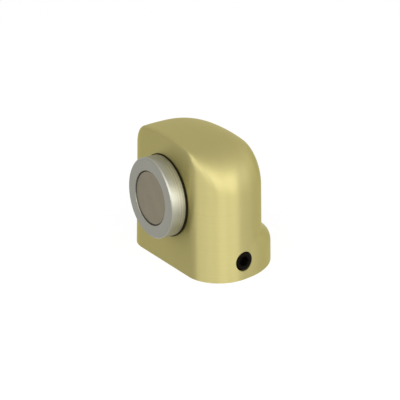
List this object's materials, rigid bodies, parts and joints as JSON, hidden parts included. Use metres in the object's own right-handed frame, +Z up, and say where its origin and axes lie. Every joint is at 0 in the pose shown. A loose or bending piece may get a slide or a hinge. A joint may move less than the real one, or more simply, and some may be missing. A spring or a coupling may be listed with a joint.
{
  "type": "magnetic door stop",
  "caption": "Floor-mounted magnetic door stop: a rounded cast brass housing over a floor plate, with a magnet in a turned cup on its front face.",
  "frame": {"origin": "on the floor, midway between the two screw holes in the floor plate", "axes": "-Y is the way the magnet faces, towards the open door; +X is to the right of someone who looks at the magnet; +Z is up from the floor"},
  "size_m": [0.0484, 0.0377, 0.0413],
  "materials": {
    "satin_brass": "satin, brushed and lacquered",
    "plated_steel": "nickel plated over a turned face",
    "magnet": "dull plated magnet",
    "black_rubber": "matt",
    "zinc_steel": "zinc plated",
    "plate_steel": "milled",
    "black_steel": "black oxide"
  },
  "bodies": {
    "root": {"housing": "satin_brass", "magnet_cup": "plated_steel", "magnet_disc": "magnet", "cushion_washer": "black_rubber", "flat_washer": "zinc_steel", "spring_washer": "zinc_steel", "hex_nut": "zinc_steel", "floor_plate": "plate_steel", "set_screw": "black_steel"}
  },
  "joints": []
}
